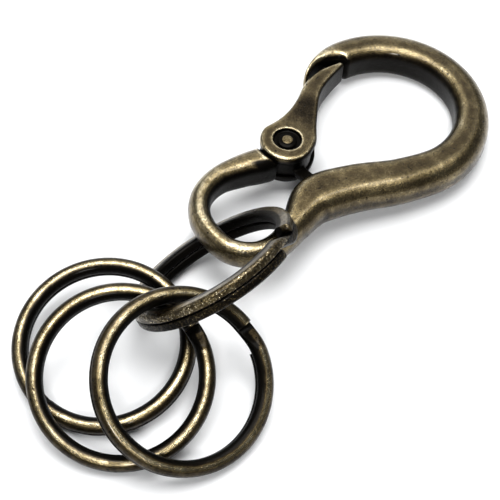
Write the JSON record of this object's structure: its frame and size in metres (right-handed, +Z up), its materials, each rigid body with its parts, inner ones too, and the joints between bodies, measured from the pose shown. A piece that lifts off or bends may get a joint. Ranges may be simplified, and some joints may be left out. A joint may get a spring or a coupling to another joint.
{
  "type": "carabiner keyring",
  "caption": "Cast lever-snap hook with a rivet-hinged gate; its small eye holds a split ring that links a fan of split key rings.",
  "frame": {"origin": "centre of the bounding box in plan, on the surface the keyring lies on", "axes": "+X runs along the hook from its small eye to the round end of the big loop; +Z is up from the surface it lies on"},
  "size_m": [0.1016, 0.0495, 0.0227],
  "materials": {
    "antique_brass_cast": "antique brass, dark patina with worn edges",
    "antique_brass_gate": "antique brass, dark patina with worn edges",
    "antique_brass_rivet": "antique brass, satin",
    "antique_brass_wire": "antique brass, satin, dark between the coils",
    "spring_steel": "drawn spring wire"
  },
  "bodies": {
    "hook": {"hook_body": "antique_brass_cast", "pivot_pin": "antique_brass_rivet"},
    "gate": {"gate": "antique_brass_gate", "gate_spring": "spring_steel"},
    "connecting_ring": {"connecting_ring": "antique_brass_wire"},
    "key_ring_1": {"key_ring_1": "antique_brass_wire"},
    "key_ring_2": {"key_ring_2": "antique_brass_wire"},
    "key_ring_3": {"key_ring_3": "antique_brass_wire"}
  },
  "joints": [
    {"name": "gate_hinge", "type": "hinge", "parent": "hook", "child": "gate", "pos_m": [0.01375, 0.01235, 0.00618], "axis": [0.0854, 0, 0.9963], "range_deg": [-50, 0], "stiffness_Nm_per_rad": 0.02, "springref_deg": 20.05, "deforming": ["gate_spring"]},
    {"name": "connecting_ring_swing", "type": "hinge", "parent": "hook", "child": "connecting_ring", "pos_m": [-0.00648, 0.00294, 0.00791], "axis": [-0.4489, 0.6564, 0.6063], "range_deg": [0, 90]},
    {"name": "key_ring_1_turn", "type": "hinge", "parent": "connecting_ring", "child": "key_ring_1", "pos_m": [-0.03364, 0.004, 0.00445], "axis": [-0.1782, -0.1071, 0.9781], "continuous": true},
    {"name": "key_ring_2_turn", "type": "hinge", "parent": "connecting_ring", "child": "key_ring_2", "pos_m": [-0.03619, -0.0035, 0.00692], "axis": [-0.2566, -0.2752, 0.9265], "continuous": true},
    {"name": "key_ring_3_turn", "type": "hinge", "parent": "connecting_ring", "child": "key_ring_3", "pos_m": [-0.03014, -0.0115, 0.00887], "axis": [0.0081, -0.5165, 0.8563], "continuous": true}
  ]
}
